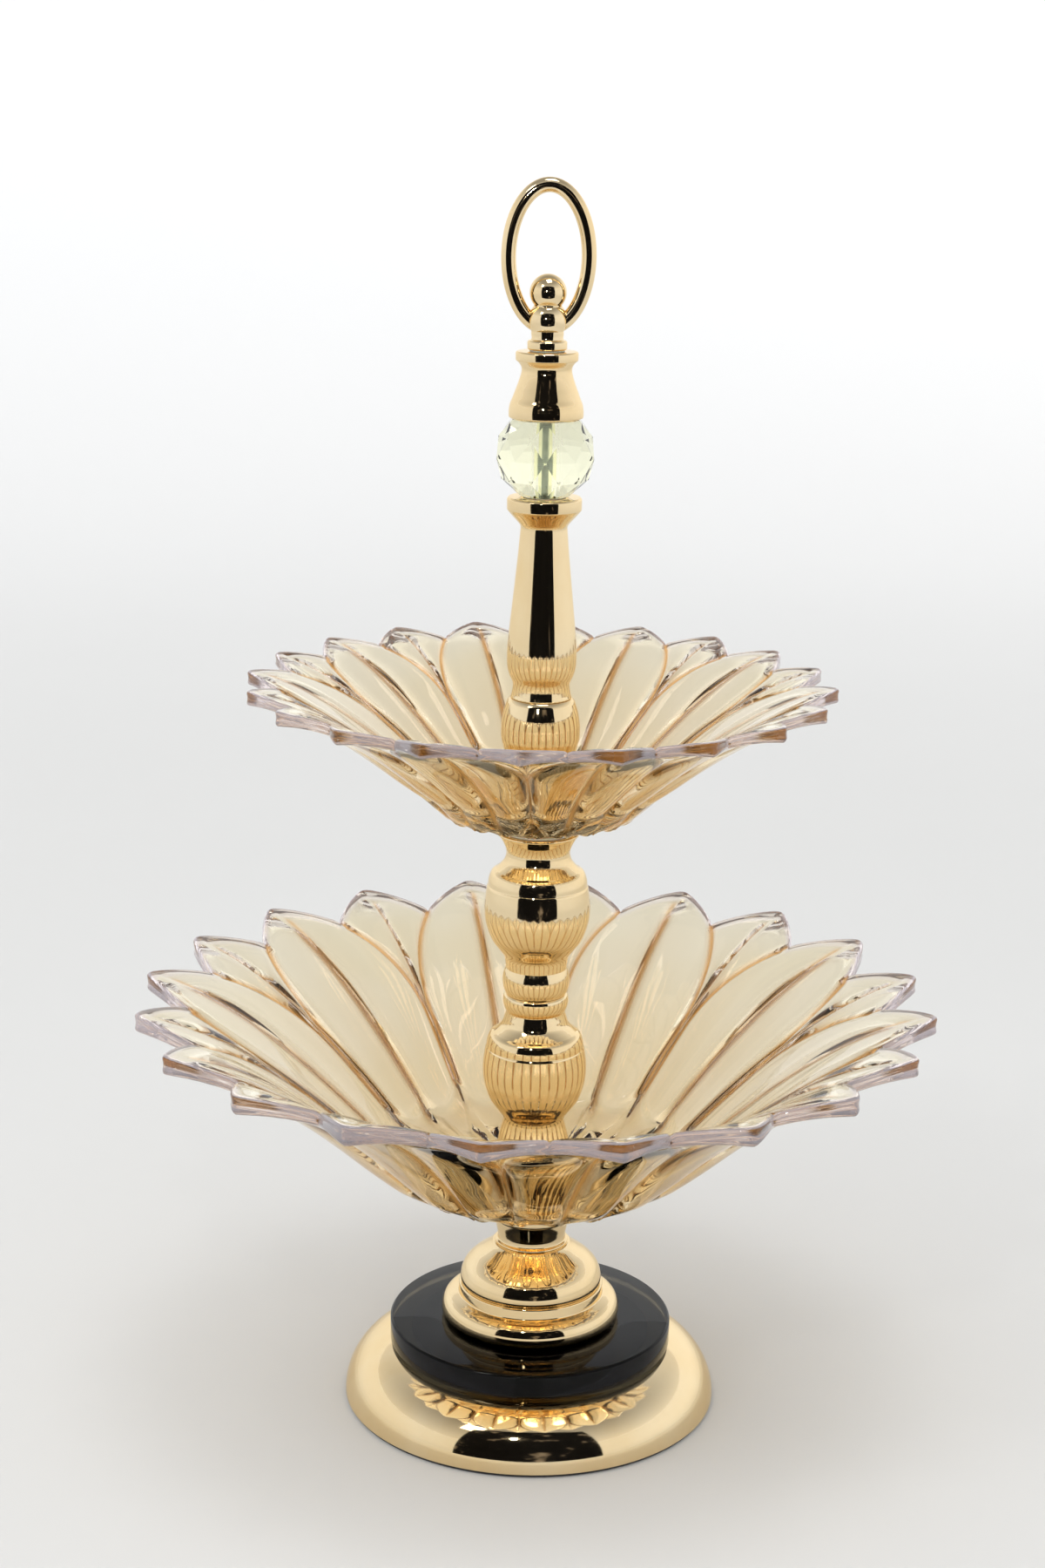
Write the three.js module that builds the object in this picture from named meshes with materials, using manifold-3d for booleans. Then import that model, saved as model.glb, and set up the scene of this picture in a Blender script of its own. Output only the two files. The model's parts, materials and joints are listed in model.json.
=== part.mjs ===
// A two-tier cake stand, in millimetres, +Z up, with its origin on the table at the middle of its pad.
// Two glass bowls in the shape of flowers are clamped between turned, gold-plated fittings on a threaded
// rod in two lengths. The finial screws onto the rod's top end and holds the whole stack together.
// Threads are plain cylinders, and every round piece has its axis on Z.
import * as THREE from "three";
import { mergeVertices } from "three/addons/utils/BufferGeometryUtils.js";
import Module from "manifold-3d";

const wasm = await Module();
wasm.setup();

// Fits
const seatGap = 0.05; // between two faces that rest on each other
const cutGap = 0.3; // round a piece that lies in a shaped hole
const rodClearance = 0.4; // round a rod in a plain hole
const threadClearance = 0.12; // round a rod in its own thread
const glassClearance = 1.5; // round a rod in glass

// Rods and what screws onto them
const lowerRodRadius = 3;
const upperRodRadius = 2;
const rodTail = 1; // of the lower rod below its nut
const rodTailClearance = 0.75; // over the pad
const nutFlats = 10;
const nutHeight = 5;
const couplingFlats = 9;
const couplingLength = 30;
const couplingWeb = 2; // between the two rods' ends

// Base
const padRadius = 73;
const padThickness = 1.5;
const domeRadius = 74; // at its lower edge
const domeFlatRadius = 52;
const domeHeight = 21.5;
const domeWall = 1.2;
const weightRadius = 46;
const baseWasherRadius = 9;
const baseWasherThickness = 1.4;
const discGasketRadius = 47;
const discGasketThickness = 0.5;
const discRadius = 56;
const discThickness = 10;
const discChamfer = 0.8;

// Foot, from the disc up to the lower bowl
const footRingRadius = 35.4;
const footRingHeight = 14.3;
const footBandRadius = 28.7;
const footBandHeight = 4.5;
const footBore = 22;
const footBellRadius = 28;
const footBellHeight = 17.5;
const footBellLip = 4; // its upright lower edge
const neckCupFootRadius = 14.1;
const neckCupRadius = 15.2;
const neckCupHeight = 13.5;
const castWall = 3; // of the closed ends of the hollow fittings

// Bowls. Each petal runs from a notch over its tip to the next notch.
const petals = 20;
const bowlFlare = 0.72; // 0 is a straight cone and 1 goes level at the tips
const bowlGasketRadius = 13.5;
const bowlGasketThickness = 0.8;
const lowerBowl = {
  tipRadius: 155,
  notchRadius: 136.7,
  depth: 76.3,
  floorRadius: 48, // where the curve of the wall would meet a level floor
  flatRadius: 20,
  petalFootRadius: 57,
  noseRadius: 50, // where the outside turns in to the boss
  noseDrop: 0.4, // from the curve of the wall
  bossRadius: 16,
  floorThickness: 11.7,
  wall: 7.3, // measured upright
  scoop: 2.4, // how deep a petal is dished
  tipAzimuth: 11.3,
};
const upperBowl = {
  tipRadius: 112,
  notchRadius: 100.3,
  depth: 47.4,
  floorRadius: 35,
  flatRadius: 15.2,
  petalFootRadius: 41.8,
  noseRadius: 35,
  noseDrop: 4.3,
  bossRadius: 14,
  floorThickness: 11,
  wall: 5.8,
  scoop: 1.8,
  tipAzimuth: 14.4,
};

// Balusters between the bowls: two pieces with the same bulb
const bulbHeight = 44;
const bulbStepDepth = 0.6;
const lowerBaluster = {
  footRadius: 18,
  footHeight: 24,
  waistRadius: 12.3,
  bulbRadius: 20.2,
  neckRadius: 11.2,
  beadRadius: 12.7,
  beadHeight: 8.6,
};
const upperBaluster = {
  beadRadius: 12.9,
  beadHeight: 13.2,
  waistRadius: 11.6,
  bulbRadius: 20.4,
  neckRadius: 12.4,
  cupRadius: 15.8,
  cupHeight: 7.8,
};
const balusterBore = 7.5;

// Column above the upper bowl
const columnFootRadius = 14;
const columnFootNeckRadius = 12;
const columnFootBeadRadius = 15;
const columnFootTopRadius = 12.6;
const columnFootHeight = 40;
const columnHeight = 76.4;
const columnWaistRadius = 10.8;
const columnSwellRadius = 13.1;
const columnNeckRadius = 8.75;
const columnFlangeRadius = 14;
const columnFlangeHeight = 5;
const columnBore = 5.5;

// Crystal ball and the bell-shaped cap over it
const crystalRadius = 18.5;
const crystalHeight = 28.4;
const crystalFootRadius = 9.3;
const crystalTopRadius = 13;
const crystalSides = 12;
const crystalWasherRadius = 8;
const crystalWasherThickness = 0.4;
const capRadius = 13.9;
const capNeckRadius = 9.35;
const capRimRadius = 11.6;
const capHeight = 24.3;
const capBore = 6;

// Finial and its oval ring
const finialWasherRadius = 6.5;
const finialWasherThickness = 0.4;
const finialCollarRadius = 7.35;
const finialCollarHeight = 3.4;
const finialNeckRadius = 5.4;
const finialNeckHeight = 1.6;
const lowerBallRadius = 7.2;
const upperBallRadius = 6.8;
const ballNeckRadius = 5.2;
const finialWeb = 0.35; // left between the rod's hole and the ring's
const rodEndClearance = 0.2; // of the rod in its hole
const ringHalfWidth = 17.5; // the oval ring, outside
const ringHalfHeight = 28.5;
const ringWireRadius = 2.75;
const ringSeat = 0.66; // how low the ring runs through its ball: 0 is the middle and 1 the bottom

// How finely round pieces are cut into flat sides
const smallSides = 16;
const stemSides = 24;
const footSides = 32;
const baseSides = 40;
const petalSteps = 4; // around each petal
const wallSteps = 4; // up each bowl's wall
const wireSides = 8;
const ringSteps = 36;

// Each piece of the stack with its height, from the table up, and the level of its underside.
const balusterHeights = {
  lower: lowerBaluster.footHeight + bulbHeight + lowerBaluster.beadHeight,
  upper: upperBaluster.beadHeight + bulbHeight + upperBaluster.cupHeight,
};
const stack = [
  ["base_pad", padThickness],
  ["base_dome", domeHeight],
  ["disc_gasket", discGasketThickness],
  ["glass_disc", discThickness],
  ["foot_ring", footRingHeight],
  ["foot_bell", footBellHeight],
  ["neck_cup", neckCupHeight],
  ["lower_bowl_gasket_below", bowlGasketThickness],
  ["lower_bowl", lowerBowl.floorThickness],
  ["lower_bowl_gasket_above", bowlGasketThickness],
  ["lower_baluster", balusterHeights.lower],
  ["upper_baluster", balusterHeights.upper],
  ["upper_bowl_gasket_below", bowlGasketThickness],
  ["upper_bowl", upperBowl.floorThickness],
  ["upper_bowl_gasket_above", bowlGasketThickness],
  ["column_foot", columnFootHeight],
  ["column", columnHeight],
  ["crystal_washer_below", crystalWasherThickness],
  ["crystal_ball", crystalHeight],
  ["crystal_washer_above", crystalWasherThickness],
  ["bell_cap", capHeight],
  ["finial_washer", finialWasherThickness],
  ["finial", finialCollarHeight],
];
const base = {};
let level = 0;
for (const [name, height] of stack) {
  base[name] = level;
  level += height + seatGap;
}

// Materials
const gold = { color: 0xd9b676, roughness: 0.12, metalness: 1 };
const amberGlass = { color: 0xe6cf9c, roughness: 0.06, metalness: 0 };
const smokedGlass = { color: 0x16171b, roughness: 0.05, metalness: 0 };
const crystal = { color: 0xeaf0c0, roughness: 0.02, metalness: 0 };
const blackFelt = { color: 0x111112, roughness: 0.95, metalness: 0 };
const blackRubber = { color: 0x0d0d0e, roughness: 0.7, metalness: 0 };
const clearPlastic = { color: 0xd8d8cf, roughness: 0.4, metalness: 0 };
const castIron = { color: 0x3a3a3c, roughness: 0.6, metalness: 1 };
const zincSteel = { color: 0xb4b6b8, roughness: 0.3, metalness: 1 };

const stand = new THREE.Group();

function add(name, geometry, finish, height = base[name]) {
  const mesh = new THREE.Mesh(geometry, new THREE.MeshStandardMaterial(finish));
  mesh.name = name;
  mesh.position.z = height;
  stand.add(mesh);
}

// Turns a closed surface's faces outward, by the sign of the volume that it encloses.
function outward(geometry) {
  const place = geometry.attributes.position;
  const corners = geometry.index.array;
  const [a, b, c] = [new THREE.Vector3(), new THREE.Vector3(), new THREE.Vector3()];
  let volume = 0;
  for (let i = 0; i < corners.length; i += 3) {
    a.fromBufferAttribute(place, corners[i]);
    b.fromBufferAttribute(place, corners[i + 1]);
    c.fromBufferAttribute(place, corners[i + 2]);
    volume += a.dot(b.cross(c));
  }
  for (let i = 0; volume < 0 && i < corners.length; i += 3) {
    [corners[i], corners[i + 1]] = [corners[i + 1], corners[i]];
  }
  return geometry;
}

// A solid of revolution. Its profile of [radius, height] starts and ends on the axis.
function turned(profile, sides) {
  const points = profile.map(([r, z]) => new THREE.Vector2(r, z));
  return outward(new THREE.LatheGeometry(points, sides).rotateX(Math.PI / 2));
}

// The same with a hole through it: the profile is closed by repeating its first point.
const turnedRing = (profile, sides) => turned([...profile, profile[0]], sides);

const washer = (radius, hole, thickness, sides) =>
  turnedRing([[hole, 0], [radius, 0], [radius, thickness], [hole, thickness]], sides);

// A smooth run through hand-placed points of [radius, height], in a number of chords.
function smooth(points, chords) {
  const curve = new THREE.SplineCurve(points.map(([r, z]) => new THREE.Vector2(r, z)));
  return curve.getPoints(chords).map((p) => [p.x, p.y]);
}

// A hollow fitting: an outside of [radius, height] from its foot to its top, a bore, and ends closed
// down to the rod's hole by a floor and a roof. An end without one stays open.
function fitting(outside, { bore, hole, floor = 0, roof = 0, sides = stemSides }) {
  const bottom = outside[0][1];
  const top = outside[outside.length - 1][1];
  const inside = [];
  if (roof > 0) inside.push([hole, top], [hole, top - roof]);
  inside.push([bore, top - roof], [bore, bottom + floor]);
  if (floor > 0) inside.push([hole, bottom + floor], [hole, bottom]);
  return turnedRing([...outside, ...inside], sides);
}

// Skins rings of points into one closed solid. The last ring joins the first, so it has a hole.
function skinned(rings) {
  const count = rings[0].length;
  const corners = [];
  rings.forEach((_, j) => {
    const next = (j + 1) % rings.length;
    for (let i = 0; i < count; i++) {
      const k = (i + 1) % count;
      corners.push(j * count + i, j * count + k, next * count + k);
      corners.push(j * count + i, next * count + k, next * count + i);
    }
  });
  const geometry = new THREE.BufferGeometry().setFromPoints(rings.flat());
  geometry.setIndex(corners);
  geometry.computeVertexNormals();
  return outward(geometry);
}

const polar = (radius, angle, z) =>
  new THREE.Vector3(radius * Math.cos(angle), radius * Math.sin(angle), z);

function solid(geometry) {
  const bare = geometry.clone().deleteAttribute("normal").deleteAttribute("uv");
  const merged = mergeVertices(bare, 1e-4);
  return new wasm.Manifold(
    new wasm.Mesh({
      numProp: 3,
      vertProperties: merged.attributes.position.array,
      triVerts: new Uint32Array(merged.index.array),
    }),
  );
}

function cut(geometry, ...tools) {
  const left = tools.reduce((whole, tool) => whole.subtract(solid(tool)), solid(geometry)).getMesh();
  const result = new THREE.BufferGeometry();
  result.setAttribute("position", new THREE.BufferAttribute(left.vertProperties, 3));
  result.setIndex(new THREE.BufferAttribute(left.triVerts, 1));
  result.computeVertexNormals();
  return result;
}

function cylinder(radius, bottom, top, sides = smallSides) {
  return turned([[0, bottom], [radius, bottom], [radius, top], [0, top]], sides);
}

// A bar with six flats, standing on Z = 0
const hexBar = (flats, length) => cylinder(flats / 2 / Math.cos(Math.PI / 6), 0, length, 6);

// The flower-shaped bowls. One curve from the floor to the petals' tips gives the height at every
// radius, and the rim is a star of straight edges cut out of it.
function bowl(size, rodRadius) {
  const { tipRadius, notchRadius, depth, floorRadius, floorThickness } = size;
  const hole = rodRadius + glassClearance;
  const rise = (r) => {
    const u = (r - floorRadius) / (tipRadius - floorRadius);
    return floorThickness + depth * (u + bowlFlare * (Math.sin((Math.PI / 2) * u) - u));
  };
  const tip = polar(tipRadius, 0, rise(tipRadius));
  const notch = polar(notchRadius, Math.PI / petals, rise(notchRadius));
  const turn = (2 * Math.PI) / petals;
  // The rim's point at a share of the way round one petal, 0 and 1 being its tips.
  const rim = (share) => tip.clone().lerp(notch, 1 - Math.abs(1 - 2 * share));
  const ring = (place) => {
    const points = [];
    for (let i = 0; i < petals * petalSteps; i++) {
      const share = (i % petalSteps) / petalSteps;
      const edge = rim(share);
      const shift = share > 0.5 ? 2 * (Math.PI / petals - Math.atan2(edge.y, edge.x)) : 0;
      const petal = Math.floor(i / petalSteps) * turn;
      const angle = THREE.MathUtils.degToRad(size.tipAzimuth) + petal + Math.atan2(edge.y, edge.x) + shift;
      const { r, z } = place(Math.hypot(edge.x, edge.y), Math.abs(1 - 2 * share));
      points.push(polar(r, angle, z));
    }
    return points;
  };
  const flat = (r, z) => ring(() => ({ r, z }));
  // A level of the wall, at a share of the way from its foot to the rim, and a drop below its inside.
  const wall = (share, foot, drop) =>
    ring((rimRadius, towardsTip) => {
      const r = foot + (rimRadius - foot) * share;
      const dish = size.scoop * towardsTip * Math.sin(Math.PI * share);
      return { r, z: rise(r) - dish - drop };
    });
  const thickness = (share) => size.noseDrop + (size.wall - size.noseDrop) * (1 - (1 - share) ** 6);
  const shares = Array.from({ length: wallSteps + 1 }, (_, i) => i / wallSteps);
  return skinned([
    flat(hole, floorThickness),
    flat(size.flatRadius, floorThickness),
    ...shares.map((share) => wall(share, size.petalFootRadius, 0)),
    ...shares.toReversed().map((share) => wall(share, size.noseRadius, thickness(share))),
    flat(size.bossRadius, 0),
    flat(hole, 0),
  ]);
}

// The bulb that both balusters share, from its waist to the neck above it. A small step runs round
// its shoulder.
function bulb(bottom, { waistRadius, bulbRadius, neckRadius }) {
  const shoulder = bulbRadius - 3.4;
  return [
    ...smooth(
      [
        [waistRadius, bottom],
        [bulbRadius - 5.2, bottom + 6],
        [bulbRadius - 1.3, bottom + 12.5],
        [bulbRadius, bottom + 21.5],
        [bulbRadius - 1, bottom + 29],
        [shoulder + bulbStepDepth, bottom + 35.5],
      ],
      7,
    ),
    [shoulder, bottom + 36],
    ...smooth(
      [
        [shoulder - 1, bottom + 37.5],
        [neckRadius + 1, bottom + 41],
        [neckRadius, bottom + bulbHeight],
      ],
      3,
    ),
  ];
}

// Base: a spun dome over a cast weight, closed by a pad, with the rod's nut and washer inside
const domeCurveWidth = domeRadius - domeFlatRadius;
const domeArc = (inset, steps) =>
  Array.from({ length: steps + 1 }, (_, i) => {
    const angle = (i / steps) * (Math.PI / 2);
    return [
      domeFlatRadius + (domeCurveWidth - inset) * Math.cos(angle),
      (domeHeight - inset) * Math.sin(angle),
    ];
  });
const lowerHole = lowerRodRadius + rodClearance;
const upperHole = upperRodRadius + rodClearance;
add("base_pad", cylinder(padRadius, 0, padThickness, baseSides), blackFelt);
add(
  "base_dome",
  turnedRing(
    [
      ...domeArc(0, 5),
      [lowerHole, domeHeight],
      [lowerHole, domeHeight - domeWall],
      ...domeArc(domeWall, 4).toReversed(),
    ],
    baseSides,
  ),
  gold,
);
// The weight takes the height that the nut, its washer and the rod's tail leave free.
const nutBase = base.base_dome + rodTailClearance + rodTail;
const baseWasherBase = nutBase + nutHeight + seatGap;
const weightBase = baseWasherBase + baseWasherThickness + seatGap;
const weightThickness = base.base_dome + domeHeight - domeWall - seatGap - weightBase;
add("base_weight", washer(weightRadius, lowerHole, weightThickness, baseSides), castIron, weightBase);
add(
  "base_washer",
  washer(baseWasherRadius, lowerHole, baseWasherThickness, smallSides),
  zincSteel,
  baseWasherBase,
);
add(
  "base_nut",
  cut(hexBar(nutFlats, nutHeight), cylinder(lowerRodRadius + threadClearance, -1, nutHeight + 1)),
  zincSteel,
  nutBase,
);

// Smoked glass disc on its rubber gasket
add("disc_gasket", washer(discGasketRadius, lowerHole, discGasketThickness, baseSides), blackRubber);
const discHole = lowerRodRadius + glassClearance;
add(
  "glass_disc",
  turnedRing(
    [
      [discHole, 0],
      [discRadius - discChamfer, 0],
      [discRadius, discChamfer],
      [discRadius, discThickness - discChamfer],
      [discRadius - discChamfer, discThickness],
      [discHole, discThickness],
    ],
    baseSides,
  ),
  smokedGlass,
);

// Foot: a rolled ring, the bell that stands on it, and the cup under the lower bowl
const footBandBottom = footRingHeight - footBandHeight;
add(
  "foot_ring",
  fitting(
    [
      ...smooth(
        [
          [footRingRadius - 2.4, 0],
          [footRingRadius - 0.4, 1.6],
          [footRingRadius, 3.6],
          [footRingRadius - 1.2, 7.2],
          [footBandRadius + 1.6, footBandBottom],
        ],
        5,
      ),
      [footBandRadius, footBandBottom],
      [footBandRadius, footRingHeight],
    ],
    { bore: footBore, hole: lowerHole, roof: castWall, sides: footSides },
  ),
  gold,
);
add(
  "foot_bell",
  fitting(
    [
      [footBellRadius, 0],
      ...smooth(
        [
          [footBellRadius, footBellLip],
          [footBellRadius - 1.8, 7.8],
          [footBellRadius - 4.9, 10.9],
          [footBellRadius - 8.6, 13.7],
          [neckCupFootRadius + 0.8, footBellHeight],
        ],
        6,
      ),
    ],
    { bore: neckCupFootRadius - 2, hole: lowerHole, roof: castWall, sides: footSides },
  ),
  gold,
);
add(
  "neck_cup",
  fitting(
    [
      [neckCupFootRadius + 0.6, 0],
      [neckCupFootRadius + 0.6, 1],
      [neckCupFootRadius, 1.4],
      ...smooth(
        [
          [neckCupFootRadius, 4],
          [neckCupFootRadius + 0.3, 8],
          [neckCupRadius - 0.1, 12],
        ],
        3,
      ),
      [neckCupRadius, neckCupHeight],
    ],
    { bore: neckCupFootRadius - 3, hole: lowerHole, floor: castWall, roof: castWall },
  ),
  gold,
);

// Bowls, each between two soft gaskets
const clampedBowls = [
  ["lower_bowl", lowerBowl, lowerRodRadius],
  ["upper_bowl", upperBowl, upperRodRadius],
];
for (const [name, size, rodRadius] of clampedBowls) {
  for (const side of ["below", "above"]) {
    add(
      `${name}_gasket_${side}`,
      washer(bowlGasketRadius, rodRadius + rodClearance, bowlGasketThickness, stemSides),
      clearPlastic,
    );
  }
  add(name, bowl(size, rodRadius), amberGlass);
}

// Balusters: the lower one stands on a trumpet foot, and the upper one ends in a cup
add(
  "lower_baluster",
  fitting(
    [
      [lowerBaluster.footRadius, 0],
      ...smooth(
        [
          [lowerBaluster.footRadius, 1.5],
          [lowerBaluster.footRadius - 2.6, 8],
          [lowerBaluster.waistRadius + 1, 17],
          [lowerBaluster.waistRadius, lowerBaluster.footHeight - 2],
        ],
        5,
      ),
      ...bulb(lowerBaluster.footHeight, lowerBaluster),
      ...smooth(
        [
          [lowerBaluster.neckRadius + 0.4, balusterHeights.lower - 7],
          [lowerBaluster.beadRadius, balusterHeights.lower - 3.6],
          [lowerBaluster.beadRadius - 0.4, balusterHeights.lower - 0.6],
        ],
        3,
      ),
      [lowerBaluster.beadRadius - 1.1, balusterHeights.lower],
    ],
    { bore: balusterBore, hole: lowerHole, floor: castWall },
  ),
  gold,
);
add(
  "upper_baluster",
  fitting(
    [
      [upperBaluster.beadRadius - 1.3, 0],
      ...smooth(
        [
          [upperBaluster.beadRadius - 0.8, 1.2],
          [upperBaluster.beadRadius, 5.6],
          [upperBaluster.waistRadius + 0.2, 10.6],
        ],
        4,
      ),
      ...bulb(upperBaluster.beadHeight, upperBaluster),
      ...smooth(
        [
          [upperBaluster.neckRadius + 0.4, balusterHeights.upper - 5.6],
          [upperBaluster.cupRadius - 1, balusterHeights.upper - 2.6],
          [upperBaluster.cupRadius, balusterHeights.upper],
        ],
        3,
      ),
    ],
    { bore: balusterBore, hole: upperHole, roof: castWall },
  ),
  gold,
);

// Column and its foot
add(
  "column_foot",
  fitting(
    [
      ...smooth(
        [
          [columnFootRadius, 0],
          [columnFootNeckRadius + 0.4, 6],
          [columnFootNeckRadius, 11],
          [columnFootBeadRadius - 1, 21],
          [columnFootBeadRadius, 27],
          [columnFootBeadRadius - 0.8, 34],
          [columnFootTopRadius, columnFootHeight - 1],
        ],
        8,
      ),
      [columnFootTopRadius - 0.8, columnFootHeight],
    ],
    { bore: columnBore + 2, hole: upperHole, floor: castWall, roof: castWall },
  ),
  gold,
);
const flangeBottom = columnHeight - columnFlangeHeight;
add(
  "column",
  fitting(
    [
      [columnWaistRadius + 0.6, 0],
      ...smooth(
        [
          [columnWaistRadius + 0.2, 1.6],
          [columnWaistRadius + 0.1, 5.4],
          [columnSwellRadius - 0.6, 9.4],
          [columnSwellRadius, 14.5],
          [columnSwellRadius - 0.8, 28.4],
          [columnNeckRadius + 1, 54],
          [columnNeckRadius, flangeBottom - 6.4],
        ],
        8,
      ),
      [columnNeckRadius + 0.3, flangeBottom - 5.2],
      [columnFlangeRadius - 1.4, flangeBottom - 0.8],
      [columnFlangeRadius, flangeBottom + 0.6],
      [columnFlangeRadius, columnHeight - 0.8],
      [columnFlangeRadius - 0.8, columnHeight],
    ],
    { bore: columnBore, hole: upperHole, floor: castWall, roof: castWall },
  ),
  gold,
);

// Crystal ball: rows of facets, each row turned half a facet from the one below it
const crystalHole = upperRodRadius + glassClearance;
const crystalRows = [
  [crystalHole, 0],
  [crystalFootRadius, 0],
  [crystalRadius * 0.86, crystalHeight * 0.22],
  [crystalRadius, crystalHeight * 0.52],
  [crystalRadius * 0.92, crystalHeight * 0.8],
  [crystalTopRadius, crystalHeight],
  [crystalHole, crystalHeight],
];
const crystalTurn = (2 * Math.PI) / crystalSides;
const crystalGeometry = skinned(
  crystalRows.map(([r, z], row) =>
    Array.from({ length: crystalSides }, (_, i) => {
      const facetRow = row > 0 && row < crystalRows.length - 1 ? row : 1;
      return polar(r, (i + facetRow / 2) * crystalTurn, z);
    }),
  ),
);
const crystalWasher = () =>
  washer(crystalWasherRadius, upperHole, crystalWasherThickness, smallSides);
add("crystal_washer_below", crystalWasher(), clearPlastic);
add("crystal_ball", crystalGeometry, crystal);
add("crystal_washer_above", crystalWasher(), clearPlastic);

add(
  "bell_cap",
  fitting(
    [
      [capRadius, 0],
      [capRadius, 2.8],
      ...smooth(
        [
          [capRadius - 0.3, 4],
          [capRadius - 2.6, 9.6],
          [capNeckRadius + 0.8, 14],
          [capNeckRadius, 17.2],
        ],
        5,
      ),
      [capNeckRadius + 0.6, 19.2],
      [capRimRadius, 21],
      [capRimRadius, capHeight - 0.6],
      [capRimRadius - 0.8, capHeight],
    ],
    { bore: capBore, hole: upperHole, floor: castWall, roof: castWall },
  ),
  gold,
);

// Finial: a collar and two balls in one piece, with the oval ring through the lower ball
const lowerBallCentre =
  finialCollarHeight + finialNeckHeight + Math.sqrt(lowerBallRadius ** 2 - finialNeckRadius ** 2) + 1;
const ballReach = (radius) => Math.sqrt(radius ** 2 - ballNeckRadius ** 2);
const upperBallCentre =
  lowerBallCentre + ballReach(lowerBallRadius) + ballReach(upperBallRadius) + 0.6;
const ringBottom = lowerBallCentre - (lowerBallRadius - ringWireRadius) * ringSeat - ringWireRadius;
const ringCentre = ringBottom + ringHalfHeight;
const threadDepth = ringBottom - cutGap - finialWeb;
// A ball's outline round its centre, between two heights above or below it
function ball(radius, centre, from, to, steps) {
  const start = Math.asin(from / radius);
  const turn = Math.asin(to / radius) - start;
  return Array.from({ length: steps + 1 }, (_, i) => {
    const angle = start + (turn * i) / steps;
    return [i === steps && to === radius ? 0 : radius * Math.cos(angle), centre + radius * Math.sin(angle)];
  });
}
const finialShape = turned(
  [
    [0, threadDepth],
    [upperRodRadius + threadClearance, threadDepth],
    [upperRodRadius + threadClearance, 0],
    [finialCollarRadius - 0.5, 0],
    [finialCollarRadius, 0.5],
    [finialCollarRadius, finialCollarHeight - 0.5],
    [finialCollarRadius - 0.5, finialCollarHeight],
    [finialNeckRadius, finialCollarHeight + finialNeckHeight],
    ...ball(lowerBallRadius, lowerBallCentre, -ballReach(lowerBallRadius) + 0.2, ballReach(lowerBallRadius), 5),
    ...ball(upperBallRadius, upperBallCentre, -ballReach(upperBallRadius), upperBallRadius, 6),
  ],
  stemSides,
);
// The oval of wire, in the plane of X and Z
function oval(wireRadius) {
  const [across, up] = [ringHalfWidth - ringWireRadius, ringHalfHeight - ringWireRadius];
  return skinned(
    Array.from({ length: ringSteps }, (_, j) => {
      const angle = (j / ringSteps) * 2 * Math.PI;
      const [c, s] = [Math.cos(angle), Math.sin(angle)];
      const out = new THREE.Vector3(c / across, 0, s / up).normalize();
      return Array.from({ length: wireSides }, (_, i) => {
        const around = ((i + 0.5) / wireSides) * 2 * Math.PI;
        return new THREE.Vector3(across * c, wireRadius * Math.sin(around), ringCentre + up * s)
          .addScaledVector(out, wireRadius * Math.cos(around));
      });
    }),
  );
}
add("finial_washer", washer(finialWasherRadius, upperHole, finialWasherThickness, smallSides), clearPlastic);
add("finial", cut(finialShape, oval(ringWireRadius + cutGap)), gold);
add("ring_handle", oval(ringWireRadius), gold, base.finial);

// Rods: the lower one from its nut into the coupling, the upper one from there into the finial
const couplingMiddle = base.upper_baluster;
const couplingBase = couplingMiddle - couplingLength / 2;
add(
  "rod_coupling",
  cut(
    hexBar(couplingFlats, couplingLength),
    cylinder(lowerRodRadius + threadClearance, -1, couplingLength / 2),
    cylinder(upperRodRadius + threadClearance, couplingLength / 2 - 1, couplingLength + 1),
  ),
  zincSteel,
  couplingBase,
);
const lowerRodBase = nutBase - rodTail;
const lowerRodTop = couplingMiddle - couplingWeb / 2;
const upperRodBase = couplingMiddle + couplingWeb / 2;
const upperRodTop = base.finial + threadDepth - rodEndClearance;
add("lower_rod", cylinder(lowerRodRadius, 0, lowerRodTop - lowerRodBase), zincSteel, lowerRodBase);
add("upper_rod", cylinder(upperRodRadius, 0, upperRodTop - upperRodBase), zincSteel, upperRodBase);

export default stand;
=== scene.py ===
"""A two-tier cake stand: flower-shaped amber glass bowls on a turned gold stem, with a crystal ball,
a ring-topped finial and a stepped base. Lengths in outlines are in millimetres, and objects in metres."""

import json
from math import asin, atan2, cos, degrees, exp, hypot, pi, radians, sin, sqrt, tau

import bpy
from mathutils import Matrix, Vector


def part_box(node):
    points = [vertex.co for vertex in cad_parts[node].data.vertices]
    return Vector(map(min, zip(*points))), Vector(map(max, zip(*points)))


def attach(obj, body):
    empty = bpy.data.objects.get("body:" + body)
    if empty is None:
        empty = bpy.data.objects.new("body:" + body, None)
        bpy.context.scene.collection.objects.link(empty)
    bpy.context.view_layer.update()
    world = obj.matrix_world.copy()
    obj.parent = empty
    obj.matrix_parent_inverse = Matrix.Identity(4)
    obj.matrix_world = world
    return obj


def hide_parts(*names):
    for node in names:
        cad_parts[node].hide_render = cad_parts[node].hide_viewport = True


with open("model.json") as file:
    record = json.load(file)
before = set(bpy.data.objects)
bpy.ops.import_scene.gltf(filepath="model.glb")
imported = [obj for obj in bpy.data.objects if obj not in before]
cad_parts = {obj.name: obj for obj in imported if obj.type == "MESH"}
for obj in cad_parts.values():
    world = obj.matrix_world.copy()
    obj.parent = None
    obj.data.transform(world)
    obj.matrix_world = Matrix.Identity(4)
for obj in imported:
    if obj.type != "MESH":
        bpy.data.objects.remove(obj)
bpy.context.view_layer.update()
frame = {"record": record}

MM = 0.001
ROUND = 144  # sides of a turned piece
STAND, WASHER, FINIAL = "stand", "finial_washer", "finial"
BLACK = (0.0, 0.0, 0.0, 1.0)


# ---------------------------------------------------------------- shader maths


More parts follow.
